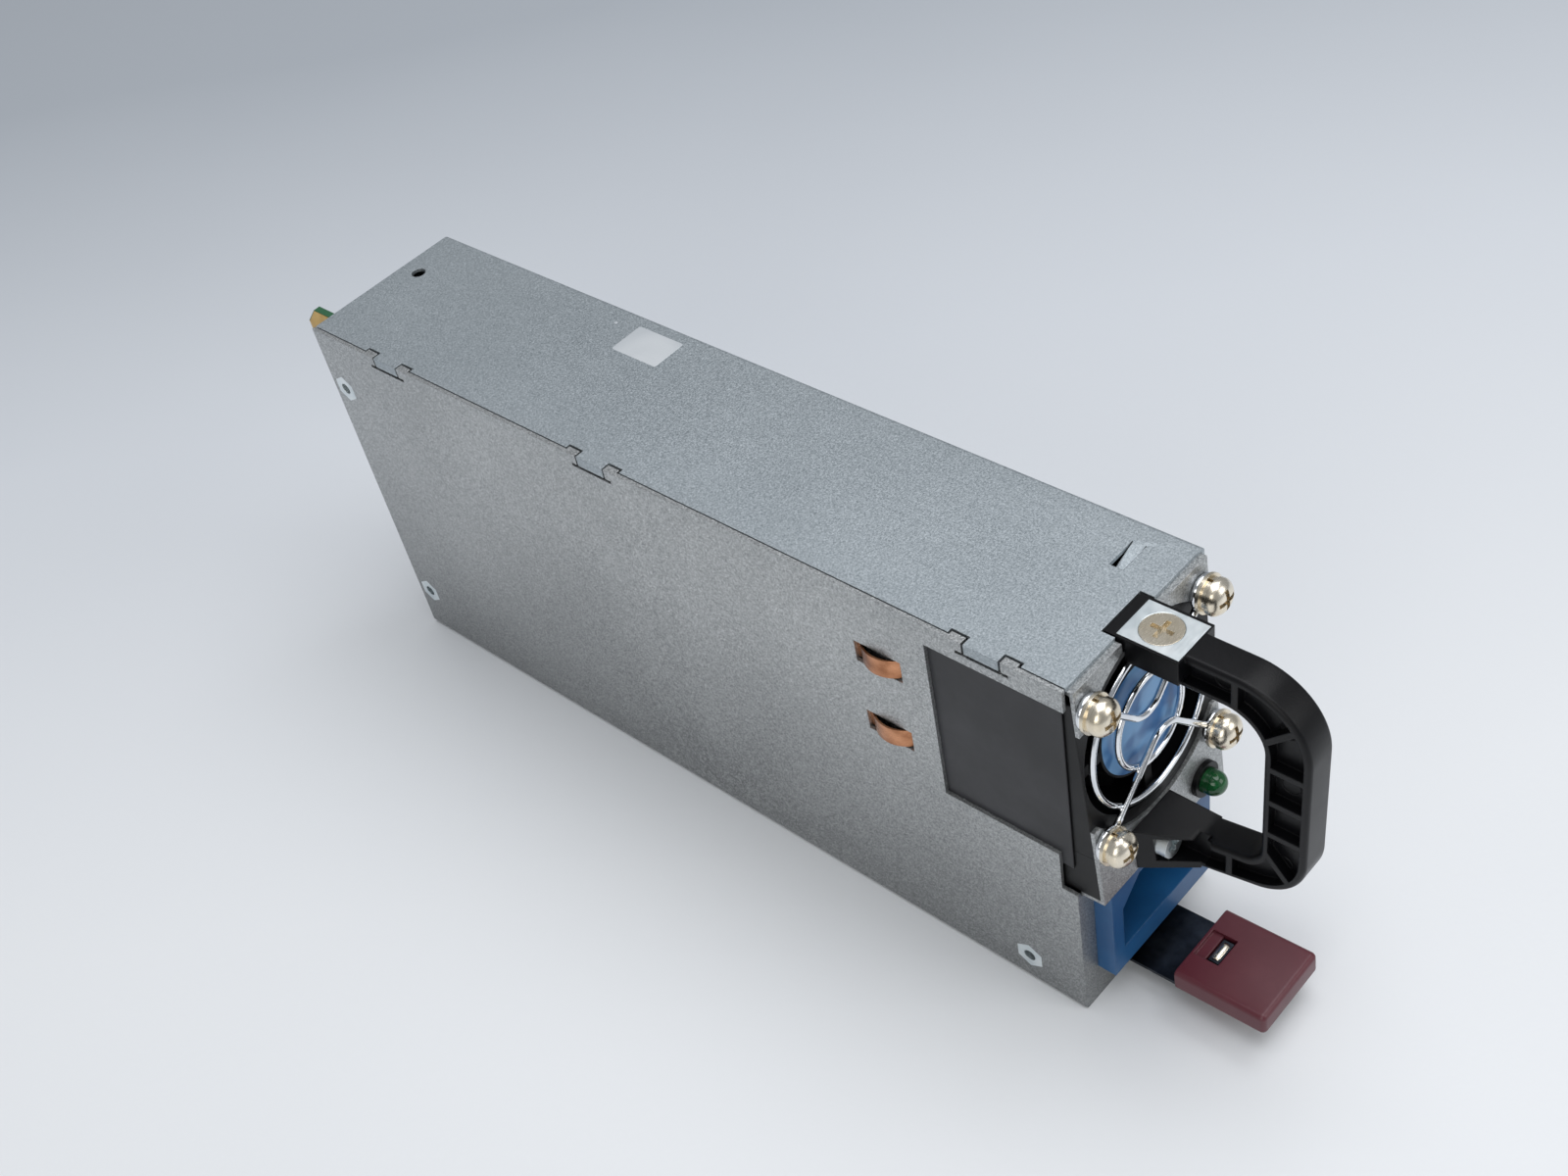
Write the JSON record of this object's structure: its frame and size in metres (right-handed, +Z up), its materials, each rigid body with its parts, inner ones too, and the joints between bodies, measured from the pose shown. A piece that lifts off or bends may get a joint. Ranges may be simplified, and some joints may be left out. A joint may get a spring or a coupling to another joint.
{
  "type": "hot swap server power supply",
  "caption": "Slim hot swap server power supply in a folded steel case, with a carrying handle, a front fan, an appliance inlet, a release latch and a card edge connector.",
  "frame": {"origin": "centre of the narrow side that the case stands on", "axes": "+Z up from that side, +Y along the case from the handle end to the card edge, +X across the thin way"},
  "size_m": [0.0408, 0.2436, 0.088],
  "materials": {
    "galvanised_steel": "satin spangle",
    "spring_steel_dark": "satin oxide",
    "nickel_plate": "bright",
    "chrome_wire": "polished",
    "zinc_plate": "bright",
    "black_nylon": "satin",
    "black_fan_plastic": "satin",
    "black_film": "satin",
    "maroon_plastic": "satin",
    "blue_plastic": "satin",
    "green_lens": "translucent",
    "copper_strip": "bright",
    "tin_blades": "bright",
    "board_laminate": "satin",
    "gold_plate": "bright",
    "aluminium_extrusion": "mill",
    "black_sleeve": "gloss",
    "ferrite": "matt",
    "winding_tape": "satin",
    "copper_wire": "enamelled",
    "yellow_film_box": "satin",
    "clear_polyester": "satin",
    "white_ceramic": "matt",
    "brass_insert": "turned"
  },
  "bodies": {
    "case": {"tray": "galvanised_steel", "cover": "galvanised_steel", "rear_panel": "galvanised_steel", "upper_bracket": "galvanised_steel", "lower_bracket": "galvanised_steel", "lower_shroud": "black_fan_plastic", "window_liners": "black_film", "fan_frame": "black_fan_plastic", "fan_bearing": "brass_insert", "fan_stator": "copper_wire", "finger_guard": "chrome_wire", "fan_screws": "nickel_plate", "fan_washers": "nickel_plate", "fan_lock_washers": "nickel_plate", "handle": "black_nylon", "handle_tab": "zinc_plate", "handle_screw": "nickel_plate", "handle_insert": "brass_insert", "foot_screw": "zinc_plate", "ac_inlet": "blue_plastic", "inlet_blades": "tin_blades", "led_holder": "black_fan_plastic", "status_led": "green_lens", "latch_root": "spring_steel_dark", "latch_rivets": "zinc_plate", "spring_backing": "galvanised_steel", "main_board": "board_laminate", "card_edge_contacts": "gold_plate", "board_standoffs": "zinc_plate", "board_screws": "zinc_plate", "filter_choke": "copper_wire", "film_capacitor": "yellow_film_box", "fuse": "white_ceramic", "relay": "black_sleeve", "bulk_capacitors": "black_sleeve", "primary_heatsink": "aluminium_extrusion", "secondary_heatsink": "aluminium_extrusion", "power_transistors": "black_sleeve", "boost_choke": "copper_wire", "transformer_core": "ferrite", "transformer_winding": "winding_tape", "output_capacitors": "black_sleeve", "control_board": "board_laminate", "insulator_sheet": "clear_polyester"},
    "fan": {"fan_rotor": "black_fan_plastic"},
    "latch": {"latch_lever": "spring_steel_dark", "latch_cap": "maroon_plastic"},
    "spring_upper": {"earthing_spring_upper": "copper_strip"},
    "spring_lower": {"earthing_spring_lower": "copper_strip"}
  },
  "joints": [
    {"name": "fan_spin", "type": "hinge", "parent": "case", "child": "fan", "pos_m": [0, -0.09996, 0.06565], "axis": [0, 0.9976, -0.0698], "continuous": true},
    {"name": "latch_flex", "type": "hinge", "parent": "case", "child": "latch", "pos_m": [0, -0.056, 0.00155], "axis": [-1, 0, 0], "range_deg": [-3, 5], "stiffness_Nm_per_rad": 6},
    {"name": "spring_upper_press", "type": "slide", "parent": "case", "child": "spring_upper", "axis": [1, 0, 0], "range_m": [0, 0.0012], "stiffness_N_per_m": 500},
    {"name": "spring_lower_press", "type": "slide", "parent": "case", "child": "spring_lower", "axis": [1, 0, 0], "range_m": [0, 0.0012], "stiffness_N_per_m": 500}
  ]
}
